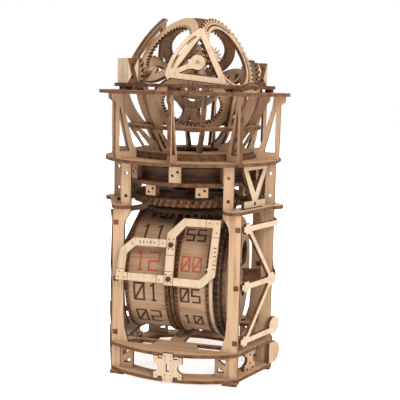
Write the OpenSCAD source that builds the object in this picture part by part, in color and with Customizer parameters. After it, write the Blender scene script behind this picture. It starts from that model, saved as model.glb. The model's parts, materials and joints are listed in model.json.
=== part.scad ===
// Wooden mechanical table clock: a laser-cut plywood frame, two number drums
// below and a spherical tourbillon cage on top. Millimetres, +Z up, front is -Y.

/* [Plywood] */
// Thickness of every flat plywood piece
ply = 3; // [2.8:0.1:3.2]

/* [Plan] */
// Distance from the clock's axis to the outer edge of a front or rear post
front_post_x = 58; // [57.5:0.5:58.5]
// Distance from the clock's axis to the outer edge of a side post
side_post_x = 77; // [76.5:0.5:77.5]
// Plane of the front posts, and of the rear posts behind
front_post_y = 53; // [52:0.5:54]

/* [Base] */
// Height of the base, from the bottom plate to the deck
base_gap = 20; // [18:1:22]
// How far the deck and bottom plate bow out between the front posts
front_bow = 17; // [14:1:18]

/* [Drums] */
// Radius of the printed drum skins
drum_r = 54; // [52:0.5:54.5]
// Radius of the drum end discs
disc_r = 56; // [55:0.5:56]
// Radius of the fixed axle that carries both drums
axle_r = 4; // [3:0.5:5]

/* [Dial frame] */
// Width of the strips of the dial frame
bezel_w = 7; // [5:0.5:8]
// How far the dial frame leans back
bezel_lean = 12; // [10:1:13]

/* [Great wheels] */
// Teeth on the upper horizontal wheel
upper_teeth = 54; // [44:1:60]

/* [Rings] */
// Radius of the ring on top of the posts
mid_ring_r = 80.5; // [80:0.5:82]
// Radius of the top ring
top_ring_r = 86.6; // [86:0.2:87]
// Radius of the thin ring around the sphere's waist
waist_ring_r = 61; // [60:0.5:62]

/* [Tourbillon] */
// Height of the tourbillon's centre
ball_z = 268; // [268:0.1:268.4]
// Tip radius of the toothed cage rings
cage_tip_r = 37.6; // [37:0.1:37.6]
// Teeth on a toothed cage ring
cage_teeth = 44; // [36:2:48]
// Radius of the trunnion pins
trunnion_r = 3; // [2.5:0.5:3.5]

/* [Hidden] */
$fn = 96;
gap = 0.05;
run = 0.05;
tol = 0.01;

// heights of the horizontal plates, bottom faces
foot_h = 3;
bottom_z = foot_h;
base_z = bottom_z + ply;
deck_z = base_z + base_gap;
floor_z = deck_z + ply;
shoulder_z = 151;
mid_deck_z = 173;
mid_ring_z = 192;
ring_top_z = mid_ring_z + ply;
waist_z = 221;
top_ring_z = 251;
inner_ring_z = 257;
drum_z = 87;

// posts
post_w = 14;
waist_w = 10.5;
tongue_w = 8;
upper_w = 9;
foot_x = front_post_x;
// inner edges of the posts' upper parts
front_upper_x = front_post_x - 16.5;
side_upper_x = side_post_x - upper_w;

// the front and rear edges are arcs through the posts
arc_edge_y = front_post_y + 2;
arc_edge_x = front_post_x + 0.5;
arc_r = (arc_edge_x * arc_edge_x + front_bow * front_bow) / (2 * front_bow);
arc_c = arc_r - arc_edge_y - front_bow;
side_edge_x = side_post_x + 2;
column_w = 9;
well_x = 50;
well_y = 37;

// trusses: vertical plates that lean 22.5 degrees in plan
truss_turn = 22.5;
truss_x0 = side_post_x + 2.3;
beam_low = 38;
beam_mid = 87;
beam_top = 138;
beam_h = 5;
truss_run = 54.5;

// drums along X
hour_x0 = -46;
hour_x1 = -6;
minute_x0 = 0;
minute_x1 = 31;
crown_gap = 2.5;
crown_x0 = minute_x1 + ply + crown_gap;
cover_x0 = 42.5;
support_x0 = -4.5;
arm_x0 = 46.5;

// dial frame, measured up its own slope
bezel_y0 = 65;
bezel_z0 = 89;
bezel_h = 57.5;
hour_h = 38;
bezel_left = -51.5;
bezel_right = 40;
bar_x0 = -7;
bar_x1 = 1;
bolt_rows = [4, 33.5];
bolt_d = 2.4;

// middle section
box_h_low = 9;
box_h_up = mid_ring_z - mid_deck_z - ply;
box_ring_r = 57.5;
box_w = 11;
box_d = 5;
turret_top = ring_top_z + 2 * ply;
bracket_step = 45;
band_h = 4;
band_count = 4;

// great wheels: the crown gear on the minute drum drives the lower wheel
crown_teeth = 57;
lower_teeth = 38;
mesh_module = 2;
crown_pitch_r = crown_teeth * mesh_module / 2;
crown_tip_r = crown_pitch_r + 0.9;
lower_pitch_r = lower_teeth * mesh_module / 2;
lower_wheel_z = 146.4;
upper_wheel_z = 154.4;
wheel_tip_r = 54;
arbor_r = 5;

// spheres and rings
ball = [0, 0, ball_z];
cage_turn = [139.5, -26, -17];
cage_face = 35;
cage_root_r = 34.8;
cage_hole_r = 27;
axis_plan = 45;
pinion_s = 58.2;
block_s = 62;
block_z0 = inner_ring_z + ply;
block_h = 21;
block_w = 20;
block_d = 10.5;

// inner mechanism: distances along the carriage axis
bridge_s = 50.3;
// the bridges' bars rest on the outer faces of the rings
bridge_in = (cage_face + ply + tol - bridge_s / sqrt(3)) / sqrt(2 / 3);
bridge_bar = 5;
bridge_reach = 29.5;
plate_s = 9;
rear_plate_s = -18;
balance_s = -4;
escape_s = 14;
escape_at = [16, -12];
fork_at = [1, 9];
carriage_r = 27;
staff_r = 1.5;

// ---------- shared shapes ----------

// a flat gear outline with straight-sided teeth
module gear_2d(teeth, root_r, tip_r, root_part = 0.6, tip_part = 0.36) {
    step = 360 / teeth;
    polygon([for (i = [0 : teeth - 1], c = [[root_r, -root_part], [tip_r, -tip_part],
                                            [tip_r, tip_part], [root_r, root_part]])
        let (a = (i + c[1] / 2) * step) c[0] * [cos(a), sin(a)]]);
}

module ring_2d(outer, inner) {
    difference() {
        circle(r = outer);
        circle(r = inner);
    }
}

// a rounded bar from a to b
module bar_2d(a, b, w) {
    d = b - a;
    translate(a) rotate(atan2(d[1], d[0])) {
        translate([0, -w / 2]) square([norm(d), w]);
        circle(d = w);
        translate([norm(d), 0]) circle(d = w);
    }
}

// a plate lying flat, bottom face at z
module flat_plate(z, h = ply) {
    translate([0, 0, z]) linear_extrude(h) children();
}

// a plate standing in the XZ plane, centred on y
module facing_plate(y, w = ply) {
    translate([0, y + w / 2, 0]) rotate([90, 0, 0]) linear_extrude(w) children();
}

// a plate standing in the YZ plane from x up; the child's x runs along +Y
module side_plate(x, w = ply) {
    translate([x, 0, 0]) rotate([90, 0, 90]) linear_extrude(w) children();
}

// both sides of the clock
module both_x() {
    children();
    mirror([1, 0, 0]) children();
}

module both_y() {
    children();
    mirror([0, 1, 0]) children();
}

// ---------- base ----------

module base_outline(inset = 0) {
    ex = arc_edge_x - inset * 0.8;
    ey = arc_edge_y - inset * 0.4;
    sx = side_edge_x - inset;
    intersection() {
        polygon([[-ex, -90], [ex, -90], [ex, -ey], [sx, -4], [sx, 4], [ex, ey], [ex, 90],
                 [-ex, 90], [-ex, ey], [-sx, 4], [-sx, -4], [-ex, -ey]]);
        translate([0, arc_c]) circle(r = arc_r - inset, $fn = 180);
        translate([0, -arc_c]) circle(r = arc_r - inset, $fn = 180);
    }
}

// cross-section of the posts' narrow tongues, used for the plates' slots
module tongue_slots() {
    for (sx = [-1, 1]) {
        for (sy = [-1, 1])
            translate([sx * (foot_x - tongue_w / 2), sy * front_post_y])
                square([tongue_w + 2 * gap, ply + 2 * gap], center = true);
        translate([sx * (side_post_x - tongue_w / 2), 0])
            square([tongue_w + 2 * gap, ply + 2 * gap], center = true);
    }
}

module feet() color("tan") {
    for (p = [[foot_x - 6, -front_post_y], [foot_x - 6, front_post_y],
              [-foot_x + 6, -front_post_y], [-foot_x + 6, front_post_y],
              [side_post_x - 5, 0], [-side_post_x + 5, 0]])
        translate(p) linear_extrude(foot_h) square([13, 11], center = true);
}

module bottom_plate() color("burlywood") flat_plate(bottom_z)
    difference() {
        base_outline();
        base_outline(17);
        tongue_slots();
        spacer_notches();
    }

module deck_plate() color("burlywood") flat_plate(deck_z)
    difference() {
        base_outline();
        tongue_slots();
        // wells under the drums, with a bar between them for the central support
        translate([-well_x, -well_y]) square([well_x - 9, 2 * well_y]);
        translate([4, -well_y]) square([well_x - 4, 2 * well_y]);
        spacer_notches();
        // tapered windows beside the front and rear middles
        both_y() both_x() polygon([[22, -52], [44, -52], [44, -46], [39, -41], [18, -41]]);
    }

// notches in the plates' front and rear edges for the spacers' columns
module spacer_notches() for (s = [-1, 1])
    translate([0, s * (arc_edge_y + front_bow)]) square([column_w + 2 * gap, 2 * (ply + gap)], center = true);

// a decorative H with rounded waists, a slot down its middle and, if asked, a column through the plates
module spacer_2d(w, h, column = 0) {
    difference() {
        if (column > 0) square([column, h + 2 * ply], center = true);
        square([2.6, h * 0.34], center = true);
    }
    difference() {
        square([w, h], center = true);
        for (s = [-1, 1]) {
            translate([s * w / 2, 0]) circle(d = h * 0.42);
            translate([s * w * 0.27, h / 2]) square([w * 0.14, h * 0.2], center = true);
            translate([s * w * 0.27, -h / 2]) square([w * 0.14, h * 0.2], center = true);
        }
        square([2.6, h * 0.34], center = true);
        for (s = [-1, 1]) translate([0, s * h * 0.17]) circle(d = 2.6);
    }
}

module front_spacer() color("wheat") translate([0, 0, base_z + base_gap / 2])
    facing_plate(-arc_edge_y - front_bow + ply / 2) spacer_2d(26, base_gap, column_w);

module rear_spacer() color("wheat") translate([0, 0, base_z + base_gap / 2])
    facing_plate(arc_edge_y + front_bow - ply / 2) spacer_2d(26, base_gap, column_w);

// places a plate in a side truss's plane; the child's x is the distance from the side post
module truss_plane(depth = ply) {
    translate([truss_x0, 0, 0]) rotate([90, 0, 90 - truss_turn])
        translate([0, 0, -depth / 2]) linear_extrude(depth) children();
}

module side_spacer_2d() {
    translate([-28, base_z + base_gap / 2]) spacer_2d(17, base_gap);
}

// a round-ended plate beside each side post
module base_lobe_2d() intersection() {
    translate([-7, base_z]) square([20, base_gap]);
    union() {
        translate([0, base_z + base_gap / 2]) circle(r = base_gap / 2 + 0.5);
        translate([-7, base_z]) square([7, base_gap]);
    }
}

module side_spacers() color("wheat") {
    both_x() both_y() translate([-6, 0, 0]) truss_plane() side_spacer_2d();
    both_x() truss_plane() base_lobe_2d();
}

// small corner braces between the bottom plate and the deck, inside the posts
module gusset_2d() {
    h = base_gap;
    difference() {
        square([12, h]);
        polygon([[2.5, 4.5], [9.5, 4.5], [2.5, h / 2 - 1]]);
        polygon([[9.5, h / 2 + 1], [9.5, h - 4], [2.5, h - 4]]);
    }
}

module corner_gussets() color("tan") {
    both_x() both_y() translate([foot_x - tongue_w - 12.2, 0, base_z])
        facing_plate(-front_post_y) gusset_2d();
    both_x() translate([side_post_x - tongue_w - 12.2, 0, base_z]) facing_plate(0) gusset_2d();
}

// ---------- posts ----------

// outer is the outer edge, upper the inner edge of the narrow upper part
module post_2d(outer, upper) {
    inner = outer - post_w;
    waist = outer - waist_w;
    head = min(inner - 1, upper);
    difference() {
        union() {
            translate([outer - tongue_w, bottom_z]) square([tongue_w, floor_z - bottom_z]);
            polygon([[inner - 1.5, floor_z], [outer, floor_z], [outer, shoulder_z], [head, shoulder_z],
                     [head, shoulder_z - 3], [waist - 1, shoulder_z - 11], [waist, shoulder_z - 17],
                     [waist, floor_z + 30], [waist - 1, floor_z + 14], [inner - 0.5, floor_z + 4]]);
            translate([upper, shoulder_z]) square([upper_w, ring_top_z - shoulder_z]);
        }
        // square holes in the upper part
        for (z = [162, 182]) translate([upper + upper_w / 2, z]) square(2.6, center = true);
    }
}

module post(sx, outer, upper, y) color("burlywood") {
    difference() {
        mirror([sx < 0 ? 1 : 0, 0, 0]) facing_plate(y) post_2d(outer, upper);
        if (y != 0) for (z = [beam_low, beam_mid, beam_top])
            translate([sx * (outer - 3), y, z]) cube([4 + 2 * gap, ply + 2, beam_h - 0.9], center = true);
    }
}

module post_front_left() post(-1, front_post_x, front_upper_x, -front_post_y);
module post_front_right() post(1, front_post_x, front_upper_x, -front_post_y);
module post_rear_left() post(-1, front_post_x, front_upper_x, front_post_y);
module post_rear_right() post(1, front_post_x, front_upper_x, front_post_y);
module post_left() post(-1, side_post_x, side_upper_x, 0);
module post_right() post(1, side_post_x, side_upper_x, 0);

// ---------- side trusses ----------

// a K of bars: three level beams and two diagonals that meet at the side post
module truss_2d(lobe) {
    for (z = [beam_low, beam_mid, beam_top]) translate([-truss_run, z - beam_h / 2]) {
        square([truss_run - (lobe ? 0 : 5), beam_h]);
        translate([3, -2]) square([7, beam_h + 4]);
    }
    bar_2d([-truss_run + 8, beam_top], [-7, beam_mid], 4);
    bar_2d([-truss_run + 8, beam_low], [-7, beam_mid], 4);
    translate([-8, beam_mid]) circle(d = 13);
    if (lobe) translate([0, beam_low + 4]) circle(d = 16);
}

module truss_pair() {
    difference() {
        union() {
            truss_plane() truss_2d(true);
            mirror([0, 1, 0]) truss_plane() truss_2d(false);
        }
        // cut off level with the post faces
        for (s = [-1, 1]) translate([0, s * (front_post_y - ply / 2 - gap + 20), 90])
            cube([200, 40, 200], center = true);
        translate([0, 2.4, 90]) cube([2 * side_post_x + 3.4, 4.4, 200], center = true);
        translate([side_post_x - 10 + gap, 0, 90]) cube([20, ply + 2 * gap, 200], center = true);
    }
    // pegs through the front and rear posts, beside the beams' ends
    for (s = [-1, 1], z = [beam_low, beam_mid, beam_top])
        translate([front_post_x - 3, s * (front_post_y - 0.7), z])
            cube([4, ply + 2.4, beam_h - 1], center = true);
}

module truss_right() color("wheat") truss_pair();
module truss_left() color("wheat") mirror([1, 0, 0]) truss_pair();

// ---------- shoulder and upper trusses ----------

// slots for the posts' upper parts
module upper_slots() {
    for (sx = [-1, 1]) {
        for (sy = [-1, 1])
            translate([sx * (front_upper_x + upper_w / 2), sy * front_post_y])
                square([upper_w + 2 * gap, ply + 2 * gap], center = true);
        translate([sx * (side_upper_x + upper_w / 2), 0])
            square([upper_w + 2 * gap, ply + 2 * gap], center = true);
    }
}

module shoulder_2d() {
    difference() {
        union() {
            polygon([[42, -57], [58, -57], [side_post_x + 3, -3], [side_post_x + 3, 3], [58, 57], [42, 57],
                     [60, 8], [60, -8]]);
            translate([side_post_x - 3, 0]) circle(r = 11);
            for (s = [-1, 1]) translate([50, s * front_post_y]) circle(r = 8.4);
        }
        upper_slots();
        both_y() polygon([[53, -44], [57, -46], [69, -14], [65, -10]]);
    }
}

module shoulder_right() color("wheat") flat_plate(shoulder_z) shoulder_2d();
module shoulder_left() color("wheat") mirror([1, 0, 0]) flat_plate(shoulder_z) shoulder_2d();

// an open triangle pointing down between shoulder and ring
module upper_truss_2d() {
    z0 = shoulder_z + ply;
    z1 = mid_ring_z;
    difference() {
        union() {
            translate([-40, z0]) square([34, 6]);
            polygon([[-42, z1], [-4, z1], [-4, z1 - 4], [-19, z0 + 6], [-27, z0 + 6], [-42, z1 - 4]]);
        }
        polygon([[-35, z1 - 5], [-11, z1 - 5], [-23, z0 + 13]]);
        translate([-23, z0 + 3]) circle(d = 3);
    }
}

module upper_trusses() color("wheat") both_x() both_y()
    translate([-9, 0, 0]) truss_plane() upper_truss_2d();

// ---------- middle section ----------

module mid_deck() color("tan") flat_plate(mid_deck_z)
    difference() {
        circle(r = 61, $fn = 180);
        circle(r = arbor_r + run);
        for (a = [0 : 45 : 359]) rotate(a) translate([41, 0]) circle(r = 9);
    }

// square spacers: one ring of them below the middle deck and one above it
module box_ring(z, h, turn) {
    for (a = [0 : 45 : 359]) rotate(a + turn) translate([0, -box_ring_r, z + h / 2]) difference() {
        cube([box_w, box_d, h], center = true);
        for (s = [-1, 1]) translate([s * 2.3, 0, s * 1.6]) rotate([0, 35, 0]) cube([2.2, 6, 1.6], center = true);
    }
}

module spacer_boxes() color("wheat") {
    box_ring(mid_deck_z - box_h_low, box_h_low, 22.5);
    box_ring(mid_deck_z + ply, box_h_up, 0);
}

// the spring barrel: a stack of thin bands, with the arbor's bush in the middle
module spring_barrel() color("saddlebrown") difference() {
    union() {
        for (i = [0 : band_count - 1])
            translate([0, 0, mid_deck_z + ply + i * band_h]) cylinder(r = i % 2 == 0 ? 52 : 50, h = band_h);
    }
    translate([0, 0, mid_deck_z]) cylinder(r = 30, h = 40);
    for (a = [0 : 60 : 359]) rotate(a) translate([40, 0, mid_deck_z]) cylinder(r = 5, h = 40);
}

module mid_ring() color("burlywood") flat_plate(mid_ring_z)
    difference() {
        intersection() {
            circle(r = mid_ring_r, $fn = 180);
            square([2 * mid_ring_r - 2.5, 200], center = true);
        }
        circle(r = 54, $fn = 180);
        upper_slots();
    }

// a stepped ring that carries the bowl
module turret_ring() color("tan") {
    flat_plate(ring_top_z) ring_2d(57, 46);
    flat_plate(ring_top_z + ply) ring_2d(55, 27);
}

// radial gussets that widen upwards from the turret ring to the waist ring
module bowl_gussets() color("burlywood") for (a = [22.5 : 45 : 359]) rotate(a)
    facing_plate(0) difference() {
        polygon([[29, turret_top], [46, turret_top], [waist_ring_r - 1.5, waist_z], [50.5, waist_z],
                 [39, turret_top + 9], [29, turret_top + 4]]);
        polygon([[41, turret_top + 3], [45, turret_top + 3], [53, waist_z - 4], [51, waist_z - 4]]);
    }

module waist_ring() color("burlywood") flat_plate(waist_z) ring_2d(waist_ring_r, 50);

// curved arms from the waist ring up to the top ring
module cradle_arm_2d() {
    intersection() {
        difference() {
            translate([0, ball_z]) circle(r = 72, $fn = 180);
            translate([0, ball_z]) circle(r = 62, $fn = 180);
        }
        translate([30, waist_z + ply]) square([60, top_ring_z - waist_z - ply]);
    }
}

module cradle_arms() color("burlywood") for (a = [22.5 : 45 : 359]) rotate(a)
    facing_plate(0) cradle_arm_2d();

// ---------- top rings and brackets ----------

module bracket_2d() {
    z0 = ring_top_z;
    z1 = top_ring_z;
    difference() {
        polygon([[59, z0], [79.5, z0], [79.5, z1 - 8], [83.5, z1 - 5], [83.5, z1], [73, z1],
                 [72, z1 - 10], [63, z0 + 14], [59, z0 + 6]]);
        polygon([[66, z0 + 6], [75.5, z0 + 6], [75.5, z1 - 14], [75, z1 - 12]]);
    }
}

module bracket(i) color("burlywood") rotate(i * bracket_step) facing_plate(0) bracket_2d();
module bracket_1() bracket(0);
module bracket_2() bracket(1);
module bracket_3() bracket(2);
module bracket_4() bracket(3);
module bracket_5() bracket(4);
module bracket_6() bracket(5);
module bracket_7() bracket(6);
module bracket_8() bracket(7);

module top_ring() color("burlywood") flat_plate(top_ring_z)
    difference() {
        circle(r = top_ring_r, $fn = 180);
        circle(r = 65, $fn = 180);
    }

module ring_spacers() color("tan") for (a = [0 : 45 : 359]) rotate(a)
    translate([68.5, 0, top_ring_z + ply]) linear_extrude(inner_ring_z - top_ring_z - ply)
        square([6, 9], center = true);

module inner_ring() color("burlywood") flat_plate(inner_ring_z)
    difference() {
        circle(r = 73, $fn = 180);
        circle(r = 64, $fn = 180);
    }

// ---------- trunnion bearings ----------

module bearing_block(side) color("wheat") rotate(axis_plan + (side < 0 ? 180 : 0)) difference() {
    translate([block_s, -block_w / 2, block_z0]) cube([block_d, block_w, block_h]);
    translate([block_s + ply, -block_w / 2 + ply, block_z0 - 1])
        cube([block_d - 2 * ply, block_w - 2 * ply, block_h - 2]);
    translate([block_s - 1, 0, ball_z]) rotate([0, 90, 0]) cylinder(r = trunnion_r + run, h = block_d + 2);
    for (s = [-1, 1], z = [5, 15]) translate([block_s + block_d / 2, s * block_w / 2, block_z0 + z])
        cube([2.6, 8, 2.6], center = true);
}

module bearing_block_front() bearing_block(-1);
module bearing_block_rear() bearing_block(1);

// ---------- dial frame ----------

// places a plate in the leaning plane of the dial frame
module bezel_plane(depth = ply) {
    translate([0, -bezel_y0, bezel_z0]) rotate([90 - bezel_lean, 0, 0])
        translate([0, 0, -depth]) linear_extrude(depth) children();
}

module hour_frame_2d() {
    difference() {
        polygon([[bezel_left, 0], [bar_x0 - gap, 0], [bar_x0 - gap, hour_h], [bezel_left + 14, hour_h],
                 [bezel_left + 2, hour_h - 11]]);
        polygon([[bezel_left + bezel_w + 1, bezel_w], [bar_x0 + 1, bezel_w], [bar_x0 + 1, hour_h - bezel_w],
                 [bezel_left + 17, hour_h - bezel_w], [bezel_left + bezel_w + 2, hour_h - 14.5]]);
    }
}

module minute_frame_2d() {
    top = bezel_h;
    difference() {
        polygon([[bar_x0, -1.5], [bezel_right - 13, -1.5], [bezel_right - 2, 9], [bezel_right, top],
                 [7, top], [bar_x0, top - 14]]);
        polygon([[bar_x1, bezel_w - 1.5], [bezel_right - 15.5, bezel_w - 1.5], [bezel_right - bezel_w - 2, 12],
                 [bezel_right - bezel_w, top - bezel_w], [9.5, top - bezel_w], [bar_x1, top - 17]]);
        for (v = bolt_rows) translate([bar_x0 + 4, v]) circle(d = bolt_d);
    }
    // pointer beside the minute window
    translate([bezel_right - bezel_w - 5, 15]) polygon([[0, 0], [6, -1.5], [6, 1.5]]);
}

module bezel_hour() color("wheat") bezel_plane() hour_frame_2d();
module bezel_minute() color("wheat") bezel_plane() minute_frame_2d();

// round-headed bolts that hold the dial frame to the central support
module bezel_bolts() color("sienna") for (v = bolt_rows)
    translate([0, -bezel_y0, bezel_z0]) rotate([90 - bezel_lean, 0, 0]) translate([bar_x0 + 4, v, 0]) {
        cylinder(d = 4.4, h = 1.6, $fn = 32);
        translate([0, 0, -ply]) cylinder(d = bolt_d - 2 * gap, h = ply + 0.5, $fn = 32);
    }

// ---------- drum carriers ----------

// the plate between the drums: it stands on the deck and reaches out to the dial frame
module support_2d() {
    difference() {
        union() {
            translate([0, drum_z]) circle(r = 54.5, $fn = 180);
            polygon([[-26, floor_z], [26, floor_z], [18, floor_z + 16], [-18, floor_z + 16]]);
            // reach to the back face of the dial frame
            intersection() {
                polygon([[-66, bezel_z0 - 1], [-40, bezel_z0 - 4], [-20, bezel_z0 + 50], [-60, bezel_z0 + 50]]);
                translate([-bezel_y0, bezel_z0]) rotate(-bezel_lean) translate([ply + tol, 0])
                    square([30, 38]);
            }
        }
        translate([0, drum_z]) circle(r = axle_r + 0.02);
        for (a = [30 : 60 : 359]) translate([0, drum_z]) rotate(a) translate([33, 0]) circle(r = 11);
        translate([-70, 0]) square([140, floor_z]);
    }
}

module center_support() color("tan") side_plate(support_x0) support_2d();

module axle_arm() {
    difference() {
        union() {
            translate([arm_x0, -9, drum_z - 9]) cube([ply, 18, 18]);
            translate([arm_x0 + ply, -ply / 2, drum_z - 6])
                cube([side_post_x - waist_w - arm_x0 - ply, ply, 12]);
        }
        translate([arm_x0 - 1, 0, drum_z]) rotate([0, 90, 0]) cylinder(r = axle_r + 0.02, h = ply + 2);
    }
}
module axle_arms() color("tan") both_x() axle_arm();

module drum_axle() color("sienna")
    translate([-arm_x0 - ply, 0, drum_z]) rotate([0, 90, 0]) cylinder(r = axle_r, h = 2 * (arm_x0 + ply));

// ---------- drums ----------

module drum_shell(x0, x1) {
    translate([x0 + ply, 0, drum_z]) rotate([0, 90, 0]) difference() {
        cylinder(r = drum_r, h = x1 - x0 - 2 * ply, $fn = 180);
        translate([0, 0, -1]) cylinder(r = drum_r - 2, h = x1 - x0, $fn = 180);
    }
}

// an end disc with spokes cut through and a running bore on the axle
module drum_disc(x, outer = disc_r) {
    translate([x, 0, drum_z]) rotate([0, 90, 0]) linear_extrude(ply) difference() {
        circle(r = outer, $fn = 180);
        circle(r = axle_r + run);
        for (a = [0 : 60 : 359]) rotate(a) translate([30, 0]) circle(r = 12);
    }
}

module hour_drum_shell() color("burlywood") drum_shell(hour_x0, hour_x1);
module hour_drum_discs() color("peru") {
    drum_disc(hour_x0);
    drum_disc(hour_x1 - ply);
}
module minute_drum_shell() color("burlywood") drum_shell(minute_x0, minute_x1);
module minute_drum_discs() color("peru") {
    drum_disc(minute_x0);
    drum_disc(minute_x1 - ply);
    drum_disc(minute_x1, disc_r - 1);
    // cover outside the toothed plate
    drum_disc(cover_x0, drum_r);
}

// the toothed plate, its spacer against the drum and a backing plate
module minute_crown_gear() color("saddlebrown") translate([crown_x0, 0, drum_z]) rotate([0, 90, 0])
    difference() {
        union() {
            linear_extrude(ply) gear_2d(crown_teeth, crown_pitch_r - 2, crown_tip_r, 0.44, 0.26);
            translate([0, 0, -crown_gap]) cylinder(r = 15, h = crown_gap + 0.5);
            translate([0, 0, ply - 0.5]) cylinder(r = disc_r - 3, h = ply + 0.5, $fn = 180);
        }
        translate([0, 0, -crown_gap - 1]) cylinder(r = axle_r + run, h = crown_gap + 3 * ply);
        for (a = [0 : 60 : 359]) rotate(a) translate([32, 0, -1]) cylinder(r = 12, h = 3 * ply);
    }

// ---------- great wheels ----------

module great_wheel() color("saddlebrown") {
    difference() {
        union() {
            for (i = [0 : 1]) translate([0, 0, upper_wheel_z + i * ply]) linear_extrude(ply)
                rotate(i * 1.5) gear_2d(upper_teeth, wheel_tip_r - 3.5, wheel_tip_r, 0.62, 0.4);
            translate([0, 0, lower_wheel_z + ply]) cylinder(r = 14, h = upper_wheel_z - lower_wheel_z - ply);
        }
        for (a = [0 : 60 : 359]) rotate(a) translate([31, 0, upper_wheel_z - 1]) cylinder(r = 12, h = 9);
        translate([0, 0, lower_wheel_z - 5]) cylinder(r = arbor_r, h = 40);
    }
    translate([0, 0, lower_wheel_z]) cylinder(r = arbor_r, h = 38);
}

// the lower wheel carries downward teeth that mesh with the crown gear
module lower_wheel() color("saddlebrown") difference() {
    union() {
        translate([0, 0, lower_wheel_z]) cylinder(r = lower_pitch_r + 3, h = ply);
        for (i = [0 : lower_teeth - 1]) rotate(i * 360 / lower_teeth)
            translate([lower_pitch_r - 2, -1.1, lower_wheel_z - 2.8]) cube([4.9, 2.2, 3.2]);
    }
    translate([0, 0, lower_wheel_z - 4]) cylinder(r = arbor_r, h = 20);
    for (a = [0 : 60 : 359]) rotate(a) translate([23, 0, lower_wheel_z - 1]) cylinder(r = 8, h = 9);
}

// ---------- tourbillon cage ----------

module cage_frame() translate(ball) rotate(cage_turn) children();

// turns one of the six cage faces to +Z: 0 and 1 face u, 2 and 3 face v, 4 and 5 face w
module cage_face(i) {
    turn = i == 0 ? [0, 90, 0] : i == 1 ? [0, -90, 0] : i == 2 ? [-90, 0, 0] : i == 3 ? [90, 0, 0]
         : i == 4 ? [0, 0, 0] : [180, 0, 0];
    rotate(turn) translate([0, 0, cage_face]) linear_extrude(ply) children();
}

module trunnion_bore() translate(ball) rotate([0, 0, axis_plan]) rotate([0, 90, 0])
    translate([0, 0, -70]) cylinder(r = trunnion_r, h = 140);

module cage_gear_rings() color("burlywood") cage_frame() {
    for (i = [0, 1]) cage_face(i) difference() {
        gear_2d(cage_teeth, cage_root_r, cage_tip_r, 0.56, 0.36);
        circle(r = cage_hole_r, $fn = 120);
    }
}

// plain rings with short teeth inside; the side pair carries the trunnion bosses
module plain_ring_2d() {
    difference() {
        circle(r = cage_root_r, $fn = 120);
        gear_2d(cage_teeth, cage_hole_r - 2.4, cage_hole_r, 0.5, 0.34);
    }
}

// the trunnion line in the cage's own axes
function turn_x(p, a) = [p[0], p[1] * cos(a) - p[2] * sin(a), p[1] * sin(a) + p[2] * cos(a)];
function turn_y(p, a) = [p[0] * cos(a) + p[2] * sin(a), p[1], -p[0] * sin(a) + p[2] * cos(a)];
function turn_z(p, a) = [p[0] * cos(a) - p[1] * sin(a), p[0] * sin(a) + p[1] * cos(a), p[2]];
function to_cage(p) = turn_x(turn_y(turn_z(p, -cage_turn[2]), -cage_turn[1]), -cage_turn[0]);
trunnion_dir = to_cage([cos(axis_plan), sin(axis_plan), 0]);
boss_at = trunnion_dir * (cage_face + ply / 2) / abs(trunnion_dir[1]);

module cage_plain_rings() color("tan") difference() {
    cage_frame() {
        for (i = [4, 5]) cage_face(i) plain_ring_2d();
        for (s = [-1, 1]) translate([0, s * (cage_face + ply / 2), 0]) rotate([90, 0, 0])
            translate([0, 0, -ply / 2]) linear_extrude(ply) union() {
                plain_ring_2d();
                k = trunnion_dir[1] * s > 0 ? 1 : -1;
                intersection() {
                    circle(r = cage_root_r - 1);
                    translate([k * boss_at[0], k * boss_at[2]]) circle(r = 8.5);
                }
            }
    }
    trunnion_bore();
}

// three-cornered bridges outside the rings; one side of each is a bowed double bar
module bridge_2d(hub) {
    bow_r = 62;
    bow_x = 2 * bridge_bar + bridge_in - bow_r;
    difference() {
        intersection() {
            union() {
                circle(r = 2 * (bridge_in + bridge_bar), $fn = 3);
                rotate(60) intersection() {
                    translate([bow_x, 0]) circle(r = bow_r, $fn = 180);
                    translate([bridge_in, -bridge_reach]) square([30, 2 * bridge_reach]);
                }
            }
            circle(r = bridge_reach);
        }
        circle(r = 2 * bridge_in, $fn = 3);
        // slot between the two bowed bars
        rotate(60) intersection() {
            translate([bow_x, 0]) ring_2d(bow_r - 3.2, bow_r - 5);
            translate([bridge_in + 1, -17]) square([20, 34]);
        }
    }
    // a tapered arm that holds the carriage pivot
    if (hub) {
        reach = 2 * bridge_in + 3;
        circle(r = 6.5, $fn = 32);
        rotate(120) polygon([[2, -4.5], [10, -2.2], [reach, -2], [reach, 2], [10, 2.2], [2, 4.5]]);
    }
}

module bridge(corner_turn, hub) rotate(corner_turn) rotate([0, acos(1 / sqrt(3)), 45]) difference() {
    translate([0, 0, bridge_s]) linear_extrude(ply) bridge_2d(hub);
    if (hub) translate([0, 0, bridge_s - 1]) cylinder(r = staff_r + run, h = ply + 2);
}

module cage_bridges() color("wheat") cage_frame() {
    bridge([0, 0, 0], true);
    bridge([0, 180, 90], true);
    bridge([0, 0, -90], false);
    bridge([0, 180, 0], false);
}

module trunnions() color("wheat") for (s = [-1, 1]) translate(ball) rotate([0, 0, axis_plan])
    rotate([0, s * 90, 0]) {
        translate([0, 0, 41]) cylinder(r = trunnion_r, h = block_s + block_d - 41);
        translate([0, 0, pinion_s]) linear_extrude(ply - 0.2) difference() {
            gear_2d(20, 12.4, 16, 0.6, 0.36);
            circle(r = trunnion_r - tol);
        }
    }

// ---------- carriage and escapement ----------

module inner_frame() cage_frame() rotate([0, acos(1 / sqrt(3)), 45]) children();

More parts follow.
